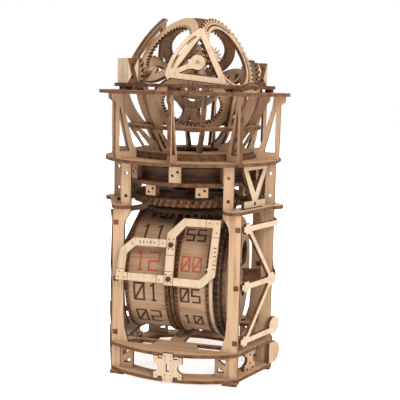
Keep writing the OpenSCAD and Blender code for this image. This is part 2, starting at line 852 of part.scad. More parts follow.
module carriage() color("tan") inner_frame() {
    difference() {
        translate([0, 0, plate_s]) linear_extrude(ply) union() {
            circle(r = 8);
            for (a = [0, 120, 240]) bar_2d([0, 0], (carriage_r - 4) * [cos(a), sin(a)], 6);
            translate(escape_at) circle(r = 4);
            bar_2d([0, 0], escape_at, 5);
            translate(fork_at) circle(r = 4);
        }
        translate([0, 0, plate_s - 1]) cylinder(r = staff_r + run, h = 2.5, $fn = 32);
    }
    difference() {
        translate([0, 0, rear_plate_s]) linear_extrude(ply) union() {
            ring_2d(carriage_r, carriage_r - 6);
            for (a = [0, 120, 240]) bar_2d([0, 0], (carriage_r - 4) * [cos(a), sin(a)], 6);
            circle(r = 7);
        }
        translate([0, 0, rear_plate_s + ply - 1.5]) cylinder(r = staff_r + run, h = 2.5, $fn = 32);
    }
    for (a = [0, 120, 240]) rotate(a) translate([carriage_r - 3.2, 0, rear_plate_s + ply])
        cylinder(r = 1.8, h = plate_s - rear_plate_s - ply, $fn = 32);
    translate([0, 0, plate_s + ply]) cylinder(r = staff_r, h = bridge_s - plate_s, $fn = 32);
    translate([0, 0, -bridge_s - ply]) cylinder(r = staff_r, h = bridge_s + ply + rear_plate_s, $fn = 32);
    for (p = [escape_at, fork_at]) translate([p[0], p[1], plate_s + ply])
        cylinder(r = staff_r, h = escape_s - plate_s + 0.6, $fn = 32);
}

module escape_wheel() color("wheat") inner_frame()
    translate([escape_at[0], escape_at[1], escape_s]) linear_extrude(ply) difference() {
        gear_2d(15, 6.4, 8.6, 0.5, 0.22);
        circle(r = staff_r + run, $fn = 32);
        for (a = [0 : 60 : 359]) rotate(a) translate([4.2, 0]) circle(r = 1, $fn = 16);
    }

module pallet_fork() color("peru") inner_frame()
    translate([fork_at[0], fork_at[1], escape_s]) linear_extrude(ply) difference() {
        union() {
            circle(r = 4.5, $fn = 32);
            bar_2d([0, 0], [-12, 1], 3.4);
            bar_2d([-12, 1], [-17, 5], 2.4);
            bar_2d([-12, 1], [-18, -1], 2.4);
            bar_2d([0, 0], [10, 1], 3.4);
            bar_2d([10, 1], [20, -3], 3);
            bar_2d([20, -3], [19, -8], 2.4);
            bar_2d([6, 0], [5, -11], 2.6);
        }
        circle(r = staff_r + run, $fn = 32);
    }

module balance_wheel() color("peru") inner_frame() {
    translate([0, 0, balance_s]) linear_extrude(ply) {
        ring_2d(21, 16.5);
        for (a = [60, 180, 300]) bar_2d([0, 0], 18 * [cos(a), sin(a)], 4);
        circle(r = 5, $fn = 32);
    }
    translate([0, 0, rear_plate_s + ply - 1.3]) cylinder(r = staff_r, h = plate_s - rear_plate_s - 0.4, $fn = 32);
}

// ---------- one line for each node ----------

feet();
bottom_plate();
deck_plate();
front_spacer();
rear_spacer();
side_spacers();
corner_gussets();
post_front_left();
post_front_right();
post_left();
post_right();
post_rear_left();
post_rear_right();
truss_left();
truss_right();
shoulder_left();
shoulder_right();
upper_trusses();
mid_deck();
spacer_boxes();
spring_barrel();
mid_ring();
turret_ring();
bowl_gussets();
waist_ring();
cradle_arms();
bracket_1();
bracket_2();
bracket_3();
bracket_4();
bracket_5();
bracket_6();
bracket_7();
bracket_8();
top_ring();
ring_spacers();
inner_ring();
bearing_block_front();
bearing_block_rear();
bezel_hour();
bezel_minute();
bezel_bolts();
center_support();
axle_arms();
drum_axle();
hour_drum_shell();
hour_drum_discs();
minute_drum_shell();
minute_drum_discs();
minute_crown_gear();
great_wheel();
lower_wheel();
cage_gear_rings();
cage_plain_rings();
cage_bridges();
trunnions();
carriage();
escape_wheel();
pallet_fork();
balance_wheel();
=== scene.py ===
"""Looks for the wooden mechanical clock model: plywood materials, drum numerals and fine detail."""

import json
import math
import random

import bmesh
import bpy
import numpy as np
from mathutils import Matrix, Vector


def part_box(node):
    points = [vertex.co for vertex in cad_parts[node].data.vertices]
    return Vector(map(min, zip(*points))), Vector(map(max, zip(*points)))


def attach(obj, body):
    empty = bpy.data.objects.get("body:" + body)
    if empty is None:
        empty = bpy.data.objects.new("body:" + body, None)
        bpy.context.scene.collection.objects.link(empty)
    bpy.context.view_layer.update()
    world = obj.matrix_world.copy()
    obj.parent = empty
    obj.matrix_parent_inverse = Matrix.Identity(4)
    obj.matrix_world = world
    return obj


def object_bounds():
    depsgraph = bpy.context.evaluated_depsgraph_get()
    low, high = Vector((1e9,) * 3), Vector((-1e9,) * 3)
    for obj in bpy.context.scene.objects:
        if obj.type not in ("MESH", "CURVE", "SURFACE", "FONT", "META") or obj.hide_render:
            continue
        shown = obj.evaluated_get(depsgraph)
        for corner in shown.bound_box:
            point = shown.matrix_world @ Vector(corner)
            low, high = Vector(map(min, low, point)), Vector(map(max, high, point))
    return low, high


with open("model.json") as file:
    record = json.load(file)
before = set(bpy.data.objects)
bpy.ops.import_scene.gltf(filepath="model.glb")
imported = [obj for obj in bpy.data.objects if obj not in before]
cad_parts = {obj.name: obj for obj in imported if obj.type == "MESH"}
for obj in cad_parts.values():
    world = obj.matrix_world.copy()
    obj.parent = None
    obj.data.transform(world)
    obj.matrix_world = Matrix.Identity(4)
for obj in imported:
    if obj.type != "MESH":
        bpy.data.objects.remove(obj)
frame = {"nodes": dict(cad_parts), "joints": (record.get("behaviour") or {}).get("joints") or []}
cad_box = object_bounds()
nodes = frame["nodes"]

MM = 0.001
PLY = 3 * MM
SEED = 7


# ---------- camera ----------

# where the viewer stands, in metres and degrees; the lens and its sensor are in millimetres
VIEW_AZIMUTH = 15.0
VIEW_DISTANCE = 0.735
VIEW_HEIGHT = 0.2597
VIEW_PITCH = -8.2
VIEW_ROLL = 1.3
VIEW_AIM_RIGHT = 0.0069
LENS = 71.9
SENSOR_WIDTH = 36


def make_camera():
    azimuth = math.radians(VIEW_AZIMUTH)
    pitch = math.radians(VIEW_PITCH)
    roll = math.radians(VIEW_ROLL)
    sideways = Vector((math.cos(azimuth), math.sin(azimuth), 0))
    place = Vector((math.sin(azimuth), -math.cos(azimuth), 0)) * VIEW_DISTANCE
    level = (sideways * VIEW_AIM_RIGHT - place).normalized()
    forward = level * math.cos(pitch) + Vector((0, 0, math.sin(pitch)))
    right = Vector((level.y, -level.x, 0))
    up = right.cross(forward)
    rolled_right = right * math.cos(roll) + up * math.sin(roll)
    rolled_up = up * math.cos(roll) - right * math.sin(roll)
    data = bpy.data.cameras.new("camera")
    data.lens = LENS
    data.sensor_width = SENSOR_WIDTH
    camera = bpy.data.objects.new("camera", data)
    camera.matrix_world = (
        Matrix.Translation(place + Vector((0, 0, VIEW_HEIGHT)))
        @ Matrix((rolled_right, rolled_up, -forward)).transposed().to_4x4()
    )
    bpy.context.scene.collection.objects.link(camera)
    bpy.context.scene.camera = camera


make_camera()


# ---------- materials ----------

def node_of(tree, kind, **values):
    made = tree.nodes.new(kind)
    for key, value in values.items():
        setattr(made, key, value)
    return made


def start_material(name):
    made = bpy.data.materials.new(name)
    made.use_nodes = True
    return made, made.node_tree, made.node_tree.nodes["Principled BSDF"]


def noise(tree, coords, scale, stretch, detail=4.0, roughness=0.55):
    """Noise stretched along the grain; scale is in waves per metre."""
    mapping = node_of(tree, "ShaderNodeMapping")
    mapping.inputs["Scale"].default_value = [scale * s for s in stretch]
    tree.links.new(coords, mapping.inputs["Vector"])
    made = node_of(tree, "ShaderNodeTexNoise")
    made.inputs["Scale"].default_value = 1.0
    made.inputs["Detail"].default_value = detail
    made.inputs["Roughness"].default_value = roughness
    tree.links.new(mapping.outputs["Vector"], made.inputs["Vector"])
    return made.outputs["Fac"]


def ramp(tree, factor, stops):
    made = node_of(tree, "ShaderNodeValToRGB")
    elements = made.color_ramp.elements
    elements[0].position, elements[0].color = stops[0][0], (*stops[0][1], 1)
    elements[1].position, elements[1].color = stops[-1][0], (*stops[-1][1], 1)
    for position, color in stops[1:-1]:
        element = elements.new(position)
        element.color = (*color, 1)
    tree.links.new(factor, made.inputs["Fac"])
    return made.outputs["Color"]


# sockets of the Mix node that carry colours
MIX_FACTOR = 0
MIX_FIRST = 6
MIX_SECOND = 7
MIX_RESULT = 2


def blend_colors(tree, factor, a, b, how="MIX"):
    made = node_of(tree, "ShaderNodeMix", data_type="RGBA", blend_type=how)
    for value, number in ((factor, MIX_FACTOR), (a, MIX_FIRST), (b, MIX_SECOND)):
        socket = made.inputs[number]
        if isinstance(value, (int, float)):
            socket.default_value = value
        elif isinstance(value, tuple):
            socket.default_value = (*value, 1)
        else:
            tree.links.new(value, socket)
    return made.outputs[MIX_RESULT]


def scaled(tree, value, low, high):
    made = node_of(tree, "ShaderNodeMapRange")
    made.inputs["To Min"].default_value = low
    made.inputs["To Max"].default_value = high
    tree.links.new(value, made.inputs["Value"])
    return made.outputs["Result"]


# how closely the rounded normal follows the true one on a face, and right on an edge
ON_FACE = 0.999
ON_EDGE = 0.86


def edge_mask(tree, width):
    """1 near the sharp edges of a piece and 0 on its faces."""
    bevel = node_of(tree, "ShaderNodeBevel", samples=4)
    bevel.inputs["Radius"].default_value = width
    geometry = node_of(tree, "ShaderNodeNewGeometry")
    dot = node_of(tree, "ShaderNodeVectorMath", operation="DOT_PRODUCT")
    tree.links.new(bevel.outputs["Normal"], dot.inputs[0])
    tree.links.new(geometry.outputs["Normal"], dot.inputs[1])
    made = node_of(tree, "ShaderNodeMapRange")
    made.inputs["From Min"].default_value = ON_FACE
    made.inputs["From Max"].default_value = ON_EDGE
    tree.links.new(dot.outputs["Value"], made.inputs["Value"])
    return made.outputs["Result"]


def add_bump(tree, shader, height, strength, distance):
    bump = node_of(tree, "ShaderNodeBump")
    bump.inputs["Strength"].default_value = strength
    bump.inputs["Distance"].default_value = distance
    tree.links.new(height, bump.inputs["Height"])
    tree.links.new(bump.outputs["Normal"], shader.inputs["Normal"])


EVEN = (1, 1, 1)
ALONG_GRAIN = 0.06


def stretch_of(grain):
    """Noise scale for each axis, 1 across the grain and much less along it."""
    return [ALONG_GRAIN if axis == grain else 1.0 for axis in "XYZ"]


def brighter(color, times):
    return tuple(min(1, c * times) for c in color)


# specular level of raw and of burnt wood
RAW_SHINE = 0.2
BURNT_SHINE = 0.12
# a laser leaves a scorched outline along each cut
SCORCH = (0.12, 0.05, 0.02)
SCORCH_WIDE = 0.8 * MM
SCORCH_STRENGTH = 0.85


def birch(name, tone, brown, grain):
    """Raw birch veneer: long soft figure, fine fibre, smoke stains and burnt outlines."""
    made, tree, shader = start_material(name)
    coords = node_of(tree, "ShaderNodeTexCoord").outputs["Object"]
    figure = noise(tree, coords, scale=260, stretch=stretch_of(grain), detail=5)
    fibre = noise(tree, coords, scale=1900, stretch=stretch_of(grain), detail=3, roughness=0.7)
    cloud = noise(tree, coords, scale=26, stretch=EVEN, detail=2)
    color = ramp(tree, figure, [(0.32, brown), (0.5, tone), (0.7, brighter(tone, 1.06))])
    color = blend_colors(tree, scaled(tree, fibre, low=0.05, high=0.4), color, brown, "MULTIPLY")
    color = blend_colors(tree, scaled(tree, cloud, low=-0.25, high=0.5), color, brown)
    scorched = scaled(tree, edge_mask(tree, SCORCH_WIDE), low=0, high=SCORCH_STRENGTH)
    color = blend_colors(tree, scorched, color, SCORCH)
    tree.links.new(color, shader.inputs["Base Color"])
    tree.links.new(scaled(tree, fibre, low=0.5, high=0.78), shader.inputs["Roughness"])
    shader.inputs["Specular IOR Level"].default_value = RAW_SHINE
    add_bump(tree, shader, fibre, strength=0.35, distance=0.12 * MM)
    return made


def burnt_edge(name, light, dark, axis):
    """A laser-cut ply edge: charred, with the three veneers showing as bands."""
    made, tree, shader = start_material(name)
    coords = node_of(tree, "ShaderNodeTexCoord").outputs["Object"]
    wave = node_of(tree, "ShaderNodeTexWave", bands_direction=axis)
    wave.inputs["Scale"].default_value = 320
    wave.inputs["Distortion"].default_value = 1.2
    wave.inputs["Detail Scale"].default_value = 3
    tree.links.new(coords, wave.inputs["Vector"])
    soot = noise(tree, coords, scale=210, stretch=EVEN, detail=5)
    grit = noise(tree, coords, scale=1500, stretch=EVEN, detail=2)
    color = ramp(tree, soot, [(0.3, dark), (0.55, light), (0.8, brighter(light, 1.5))])
    color = blend_colors(tree, scaled(tree, wave.outputs["Fac"], low=0.0, high=0.45), color, dark)
    tree.links.new(color, shader.inputs["Base Color"])
    tree.links.new(scaled(tree, grit, low=0.6, high=0.9), shader.inputs["Roughness"])
    shader.inputs["Specular IOR Level"].default_value = BURNT_SHINE
    add_bump(tree, shader, grit, strength=0.4, distance=0.15 * MM)
    return made


def ink(name, dark, light):
    """Laser engraving or stain: a dark tone that the fibres break up."""
    made, tree, shader = start_material(name)
    coords = node_of(tree, "ShaderNodeTexCoord").outputs["Object"]
    fibre = noise(tree, coords, scale=1600, stretch=stretch_of("X"), detail=4, roughness=0.7)
    blot = noise(tree, coords, scale=180, stretch=EVEN, detail=3)
    color = ramp(tree, fibre, [(0.35, dark), (0.75, light)])
    color = blend_colors(tree, scaled(tree, blot, low=0.0, high=0.35), color, light)
    tree.links.new(color, shader.inputs["Base Color"])
    tree.links.new(scaled(tree, blot, low=0.6, high=0.85), shader.inputs["Roughness"])
    shader.inputs["Specular IOR Level"].default_value = BURNT_SHINE
    add_bump(tree, shader, fibre, strength=0.3, distance=0.1 * MM)
    return made


def metal(name, tone, rough):
    """Brushed spring steel with a faint uneven polish."""
    made, tree, shader = start_material(name)
    coords = node_of(tree, "ShaderNodeTexCoord").outputs["Object"]
    brushed = noise(tree, coords, scale=2500, stretch=stretch_of("X"), detail=3)
    color = ramp(tree, brushed, [(0.3, tone), (0.7, brighter(tone, 1.3))])
    tree.links.new(color, shader.inputs["Base Color"])
    tree.links.new(scaled(tree, brushed, low=rough, high=rough + 0.2), shader.inputs["Roughness"])
    shader.inputs["Metallic"].default_value = 1.0
    return made


# linear colours: the tone of a veneer and the brown of its figure; a cut edge and its darkest part
TONES = {
    "warm": ((0.46, 0.305, 0.19), (0.33, 0.2, 0.115)),
    "tan": ((0.375, 0.238, 0.144), (0.265, 0.157, 0.09)),
    "cream": ((0.50, 0.385, 0.27), (0.40, 0.29, 0.19)),
    "brown": ((0.23, 0.128, 0.072), (0.155, 0.08, 0.044)),
    "smoke": ((0.10, 0.05, 0.026), (0.055, 0.026, 0.014)),
}
CUT_EDGE = ((0.135, 0.063, 0.030), (0.045, 0.018, 0.008))
CHARRED_EDGE = ((0.05, 0.024, 0.014), (0.018, 0.009, 0.006))
faces = {
    (tone, grain): birch(f"birch_{tone}_{grain.lower()}", *TONES[tone], grain)
    for tone in TONES for grain in "XYZ"
}
edges = {
    axis: burnt_edge(f"ply_edge_{axis.lower()}", *CUT_EDGE, axis)
    for axis in "XYZ"
}
char = {
    axis: burnt_edge(f"charred_edge_{axis.lower()}", *CHARRED_EDGE, axis)
    for axis in "XYZ"
}
black_ink = ink("engraved_black", (0.022, 0.014, 0.010), (0.07, 0.04, 0.024))
spring_steel = metal("spring_steel", (0.42, 0.40, 0.38), rough=0.3)
red_ink = ink("stained_red", (0.26, 0.048, 0.03), (0.33, 0.105, 0.06))


# ---------- materials of the plywood pieces ----------

# corners that agree to this many steps in a metre count as one
WELD_STEPS = 2e5


def islands(mesh):
    """The separate solids of a mesh: a list of arrays of polygon numbers."""
    count = len(mesh.vertices)
    places = np.empty(count * 3)
    mesh.vertices.foreach_get("co", places)
    keys = np.round(places.reshape(-1, 3) * WELD_STEPS).astype(np.int64)
    _, merged = np.unique(keys, axis=0, return_inverse=True)
    merged = merged.reshape(-1)
    parent = list(range(int(merged.max()) + 1))

    def root(i):
        while parent[i] != i:
            parent[i] = parent[parent[i]]
            i = parent[i]
        return i

    corners = [[int(merged[v]) for v in polygon.vertices] for polygon in mesh.polygons]
    for corner in corners:
        first = root(corner[0])
        for other in corner[1:]:
            parent[root(other)] = first
    groups = {}
    for number, corner in enumerate(corners):
        groups.setdefault(root(corner[0]), []).append(number)
    return [np.array(groups[key]) for key in sorted(groups)]


def normals_and_areas(mesh):
    normals = np.array([polygon.normal for polygon in mesh.polygons])
    areas = np.array([polygon.area for polygon in mesh.polygons])
    return normals, areas


def main_direction(normals, areas):
    """The direction that most of the area faces: a sheet's own normal."""
    spread = (normals * areas[:, None]).T @ normals
    _, vectors = np.linalg.eigh(spread)
    return vectors[:, 2]


# where the grain runs in a sheet that faces along X, Y or Z, when nothing else is said
USUAL_GRAIN = {"X": "Z", "Y": "Z", "Z": "X"}
# a polygon is on a sheet's face when its normal is this close to the sheet's own
FACE_LIMIT = 0.96
# on a solid block, larger polygons are faces too, in square metres
BLOCK_FACE = 40e-6
# a polygon of a bent sheet is on its end when its normal is this close to the drum's axis
END_LIMIT = 0.9


def paint_plywood(node, tones, grain=None, edge=edges, blocky=False, directions=None):
    """Veneer on the two faces of each sheet, burnt edge on everything else."""
    mesh = nodes[node].data
    mesh.materials.clear()
    slots = {}

    def slot_of(material):
        if material not in slots:
            slots[material] = len(mesh.materials)
            mesh.materials.append(material)
        return slots[material]

    normals, areas = normals_and_areas(mesh)
    chooser = random.Random(f"{SEED}{node}")
    for members in islands(mesh):
        facing = directions or [main_direction(normals[members], areas[members])]
        axis = "XYZ"[int(np.argmax(np.abs(facing[0])))]
        along = grain or USUAL_GRAIN[axis]
        if along == axis:
            along = "X" if axis != "X" else "Z"
        veneer = slot_of(faces[chooser.choice(tones), along])
        cut = slot_of(edge[axis])
        flat = np.abs(normals[members] @ np.array(facing).T).max(axis=1) > FACE_LIMIT
        if blocky:
            flat |= areas[members] > BLOCK_FACE
        for number, is_flat in zip(members, flat):
            mesh.polygons[int(number)].material_index = veneer if is_flat else cut


def repaint(node, material, chosen):
    """Gives another material to the polygons that chosen(middle) picks."""
    mesh = nodes[node].data
    mesh.materials.append(material)
    for polygon in mesh.polygons:
        if chosen(polygon.center):
            polygon.material_index = len(mesh.materials) - 1


def paint_whole(node, material):
    mesh = nodes[node].data
    mesh.materials.clear()
    mesh.materials.append(material)


def paint_skin(node, veneer, cut):
    """A bent sheet: veneer on its curved faces, burnt edge on its two ends."""
    mesh = nodes[node].data
    mesh.materials.clear()
    mesh.materials.append(veneer)
    mesh.materials.append(cut)
    for polygon in mesh.polygons:
        polygon.material_index = 1 if abs(polygon.normal.x) > END_LIMIT else 0


CREAM = ["cream", "cream", "warm"]
WARM = ["warm", "warm", "cream", "tan"]
PLAIN = ["warm", "tan"]
# the right truss and right shoulder get cream, the left ones and the left and rear posts darker tones:
# partly the wood's own tones, partly painted light on the lamp side and painted shade on the left and at
# the back
TONES_OF = {
    "feet": ["tan"], "bottom_plate": ["warm"], "deck_plate": ["warm"], "front_spacer": ["cream"],
    "rear_spacer": ["warm"], "side_spacers": ["cream", "warm"], "corner_gussets": ["tan"],
    "post_front_left": ["warm"], "post_front_right": ["warm"], "post_left": ["tan"],
    "post_right": ["warm"], "post_rear_left": ["tan"], "post_rear_right": ["tan"],
    "shoulder_left": ["warm"], "shoulder_right": ["cream"],
    "upper_trusses": CREAM, "mid_deck": ["brown"], "spacer_boxes": WARM, "mid_ring": ["warm"],
    "turret_ring": ["tan"], "bowl_gussets": PLAIN, "waist_ring": ["warm"], "cradle_arms": PLAIN,
    "top_ring": ["warm"], "ring_spacers": ["tan"], "inner_ring": ["tan"], "bezel_hour": ["cream"],
    "bezel_minute": ["cream"], "center_support": ["brown"], "axle_arms": ["tan"],
    "hour_drum_discs": ["brown"], "minute_drum_discs": ["tan"], "cage_gear_rings": ["warm"],
    "cage_plain_rings": ["warm", "tan"], "cage_bridges": ["cream", "warm"], "trunnions": ["cream"],
    "carriage": ["tan"], "escape_wheel": ["cream"], "pallet_fork": ["warm"], "balance_wheel": ["brown"],
    **{f"bracket_{i}": ["warm"] for i in range(1, 9)},
}
for name, tones in TONES_OF.items():
    paint_plywood(name, tones)
for name in ("bearing_block_front", "bearing_block_rear"):
    paint_plywood(name, ["cream"], blocky=True)
for name in ("lower_wheel", "minute_crown_gear"):
    paint_plywood(name, ["brown"], edge=char)
paint_plywood("great_wheel", ["brown"])
# a side truss folds at its side post, so its sheets face two ways
TRUSS_TURN = math.radians(22.5)
TRUSS_SHEETS = [(math.cos(TRUSS_TURN), side * math.sin(TRUSS_TURN), 0) for side in (-1, 1)]
# the right truss is painted cream and the left one darker, partly as painted light and painted shade
paint_plywood("truss_left", PLAIN, grain="Y", directions=TRUSS_SHEETS)
paint_plywood("truss_right", ["cream"], grain="Y", directions=TRUSS_SHEETS)
# the pale flange beside the minute drum's own end disc
FLANGE = (31.1 * MM, 34.1 * MM)
repaint("minute_drum_discs", faces["cream", "Z"], lambda middle: FLANGE[0] < middle.x < FLANGE[1])
paint_whole("spring_barrel", faces["smoke", "X"])
paint_whole("drum_axle", faces["brown", "X"])
paint_whole("bezel_bolts", black_ink)
paint_skin("hour_drum_shell", faces["tan", "X"], edges["X"])
paint_skin("minute_drum_shell", faces["tan", "X"], edges["X"])


# ---------- fine detail pieces ----------

def new_piece(name, mesh_builder, material, body):
    """A closed mesh made by mesh_builder, which rides on a CAD body."""
    bm = bmesh.new()
    mesh_builder(bm)
    bmesh.ops.recalc_face_normals(bm, faces=bm.faces)
    mesh = bpy.data.meshes.new(name)
    bm.to_mesh(mesh)
    bm.free()
    mesh.materials.append(material)
    piece = bpy.data.objects.new(name, mesh)
    bpy.context.scene.collection.objects.link(piece)
    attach(piece, body)


def divided(points, step, closed):
    """The same line with extra points, so that it can bend with what it lies on."""
    ends = points + points[:1] if closed else points
    made = []
    for a, b in zip(ends, ends[1:]):
        parts = max(1, math.ceil((Vector(b) - Vector(a)).length / step))
        made += [Vector(a).lerp(Vector(b), i / parts) for i in range(parts)]
    return made if closed else made + [Vector(ends[-1])]


# how far a ribbon or a dot reaches into what it lies on, and how finely a ribbon is divided
RIBBON_SINK = 0.05 * MM
DOT_SINK = 0.1 * MM
FINE_STEP = 1.5 * MM
COARSE_STEP = 5 * MM


def ribbon(bm, points, width, place, lift, closed=False, step=FINE_STEP):
    """A thin closed strip along a flat line, laid on a surface by place(along, up, out)."""
    line = divided(points, step, closed)
    count = len(line)
    rings = []
    for i, point in enumerate(line):
        before = line[i - 1] if closed or i > 0 else None
        after = line[(i + 1) % count] if closed or i < count - 1 else None
        into = (point - before).normalized() if before is not None else (after - point).normalized()
        out = (after - point).normalized() if after is not None else into
        left_in = Vector((-into.y, into.x))
        left_out = Vector((-out.y, out.x))
        side = (left_in + left_out) / (1 + left_in.dot(left_out)) * (width / 2)
        a, b = point + side, point - side
        corners = [(a, -RIBBON_SINK), (a, lift), (b, lift), (b, -RIBBON_SINK)]
        rings.append([bm.verts.new(place(c.x, c.y, h)) for c, h in corners])
    pairs = list(zip(rings, rings[1:]))
    if closed:
        pairs.append((rings[-1], rings[0]))
    for first, second in pairs:
        for k in range(4):
            bm.faces.new((first[k], first[(k + 1) % 4], second[(k + 1) % 4], second[k]))
    if not closed:
        bm.faces.new(rings[0])
        bm.faces.new(rings[-1][::-1])


def on_plane(middle, first, second, normal):
    """Lays a drawing on a plane through middle, along its first and second directions."""
    def place(along, up, out):
        return middle + first * along + second * up + normal * out
    return place


# the drums: axis height and radii, read from the frame
drum_lo, drum_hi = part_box("hour_drum_shell")
DRUM_Z = (drum_lo.z + drum_hi.z) / 2
DRUM_R = (drum_hi.z - drum_lo.z) / 2
disc_lo, disc_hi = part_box("hour_drum_discs")
DISC_R = (disc_hi.z - disc_lo.z) / 2


def on_drum(radius, x, angle):
    """Lays a flat drawing on a drum, with its middle at x and angle above the front."""
    def place(along, up, out):
        a = angle + up / radius
        r = radius + out
        return Vector((x + along, -r * math.cos(a), DRUM_Z + r * math.sin(a)))
    return place


# strokes of the figures in a cell from -0.5 to 0.5 each way; True marks a closed line
BOX_LINE = ([(-0.5, -0.5), (0.5, -0.5), (0.5, 0.5), (-0.5, 0.5)], True)
FIGURES = {
    "0": [BOX_LINE, ([(-0.42, -0.42), (0.42, 0.42)], False)],
    "1": [([(-0.28, 0.36), (0.05, 0.5), (0.05, -0.5)], False), ([(-0.2, -0.5), (0.3, -0.5)], False)],
    "2": [([(-0.5, 0.5), (0.5, 0.5), (0.5, 0), (-0.5, 0), (-0.5, -0.5), (0.5, -0.5)], False)],
    "3": [([(-0.5, 0.5), (0.5, 0.5), (0.5, -0.5), (-0.5, -0.5)], False), ([(-0.3, 0), (0.5, 0)], False)],
    "4": [([(-0.5, 0.5), (-0.5, 0), (0.5, 0)], False), ([(0.5, 0.5), (0.5, -0.5)], False)],
    "5": [([(0.5, 0.5), (-0.5, 0.5), (-0.5, 0), (0.5, 0), (0.5, -0.5), (-0.5, -0.5)], False)],
    "6": [([(0.5, 0.5), (-0.5, 0.5), (-0.5, -0.5), (0.5, -0.5), (0.5, 0), (-0.5, 0)], False)],
    "7": [([(-0.5, 0.5), (0.5, 0.5), (0.5, -0.5)], False)],
    "8": [BOX_LINE, ([(-0.5, 0), (0.5, 0)], False)],
    "9": [([(0.5, -0.5), (0.5, 0.5), (-0.5, 0.5), (-0.5, 0), (0.5, 0)], False)],
}
NUMERAL_LIFT = 0.1 * MM
STEP_ANGLE = math.radians(30)
FIRST_ANGLE = math.radians(19)


def draw_number(bm, text, centers, size, stroke, angle):
    for figure, x in zip(text, centers):
        place = on_drum(DRUM_R, x, angle)
        for line, closed in FIGURES[figure]:
            points = [(u * size[0], v * size[1]) for u, v in line]
            ribbon(bm, points, stroke, place, NUMERAL_LIFT, closed)


def numbers(name, texts, first, centers, size, stroke, material, body):
    def build(bm):
        for i, text in enumerate(texts):
            draw_number(bm, text, centers, size, stroke, FIRST_ANGLE - (first + i) * STEP_ANGLE)
    new_piece(name, build, material, body)


HOUR_CENTERS = (-33.3 * MM, -20.3 * MM)
HOUR_SIZE = (8.9 * MM, 16.0 * MM)
MINUTE_CENTERS = (8.7 * MM, 18.9 * MM)
MINUTE_SIZE = (7.0 * MM, 12.4 * MM)
HOUR_STROKE = 1.9 * MM
MINUTE_STROKE = 1.7 * MM
hour_texts = [f"{i:02d}" for i in range(1, 12)]
minute_texts = [f"{5 * i:02d}" for i in range(1, 12)]
numbers("hour_figures", hour_texts, 1, HOUR_CENTERS, HOUR_SIZE, HOUR_STROKE, black_ink, "hour_drum")
numbers("hour_twelve", ["12"], 0, HOUR_CENTERS, HOUR_SIZE, HOUR_STROKE, red_ink, "hour_drum")
numbers("minute_figures", minute_texts, 1, MINUTE_CENTERS, MINUTE_SIZE, MINUTE_STROKE, black_ink,
        "minute_drum")
numbers("minute_zero", ["00"], 0, MINUTE_CENTERS, MINUTE_SIZE, MINUTE_STROKE, red_ink, "minute_drum")


# tabs of the drum skins, which show as dark ends around the rim of each disc
TAB_COUNT = 84
TAB_LONG = 2.4 * MM
TAB_WIDE = 2.1 * MM
TAB_LIFT = 0.15 * MM


def rim_tabs(name, body, middles):
    def build(bm):
        for x in middles:
            for i in range(TAB_COUNT):
                place = on_drum(DISC_R, x, i * math.tau / TAB_COUNT)
                ribbon(bm, [(-TAB_LONG / 2, 0), (TAB_LONG / 2, 0)], TAB_WIDE, place, TAB_LIFT)
    new_piece(name, build, char["X"], body)


def end_middles(node):
    """Where the middles of a drum's two end discs lie along X, from its skin."""
    lo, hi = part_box(node)
    return lo.x - PLY / 2, hi.x + PLY / 2


rim_tabs("hour_rim_tabs", "hour_drum", end_middles("hour_drum_shell"))
rim_tabs("minute_rim_tabs", "minute_drum", end_middles("minute_drum_shell"))


# ---------- dial frame ----------

DIAL_LEAN = math.radians(12)
INK_LIFT = 0.06 * MM
SCORE_WIDE = 0.45 * MM
dial_lo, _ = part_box("bezel_minute")
DIAL_UP = Vector((0, math.sin(DIAL_LEAN), math.cos(DIAL_LEAN)))
DIAL_OUT = Vector((0, -math.cos(DIAL_LEAN), math.sin(DIAL_LEAN)))
DIAL_FOOT = Vector((0, dial_lo.y, dial_lo.z + PLY * math.sin(DIAL_LEAN)))


def on_dial(u, v):
    """Lays a drawing on the front of the dial frame, u metres along X and v up its slope."""
    def place(along, up, out):
        return DIAL_FOOT + Vector((u + along, 0, 0)) + DIAL_UP * (v + up) + DIAL_OUT * out
    return place


def disc(bm, place, radius, lift, sides=16):
    """A small round dot, closed, standing a little proud."""
    turns = [i * math.tau / sides for i in range(sides)]
    low = [bm.verts.new(place(radius * math.cos(t), radius * math.sin(t), -DOT_SINK)) for t in turns]
    high = [bm.verts.new(place(radius * math.cos(t), radius * math.sin(t), lift)) for t in turns]
    bm.faces.new(low[::-1])
    bm.faces.new(high)
    for i in range(sides):
        bm.faces.new((low[i], low[(i + 1) % sides], high[(i + 1) % sides], high[i]))


# score lines between the strips of the frame: from, to, in mm from the middle and up the slope
DIAL_SCORES = [
    ((-51.5, 11.5), (-43.7, 11.5)), ((-40.5, 1.5), (-40.5, 8.5)), ((-14, 1.5), (-14, 8.5)),
    ((-7, 12), (1, 12)), ((-7, 26), (1, 26)), ((-14, 32.5), (-14, 39.5)),
    ((1, 0), (1, 7)), ((33, 44), (40, 44)), ((27, 52), (27, 59)), ((-37.5, 32.5), (-39.5, 36)),
]
# drilled dots near the corners of the frame: dark discs for pin holes, partly charred hole walls and
# partly painted shade inside the holes
DIAL_DOTS = [
    (-48.5, 8.8), (-49, 4.2), (-43.5, 4), (-11.5, 4), (-5.8, 9.3), (0, 9.3), (-0.6, 3),
    (-4.8, 31.5), (-1, 31.5), (-5.2, 40), (-1, 40), (-10.6, 36), (30, 56), (37, 56), (36.5, 48),
]
# plain bars where the frame's captions would be
HOUR_BARS = [(-31 + 3.2 * i, 36) for i in range(5)]
MINUTE_BARS = [(36.4, 17 + 3.6 * i) for i in range(6)]
BAR_WIDE = 0.8 * MM
SHORT_BAR = 0.9 * MM
LONG_BAR = 1.4 * MM
DOT_RADIUS = 0.65 * MM


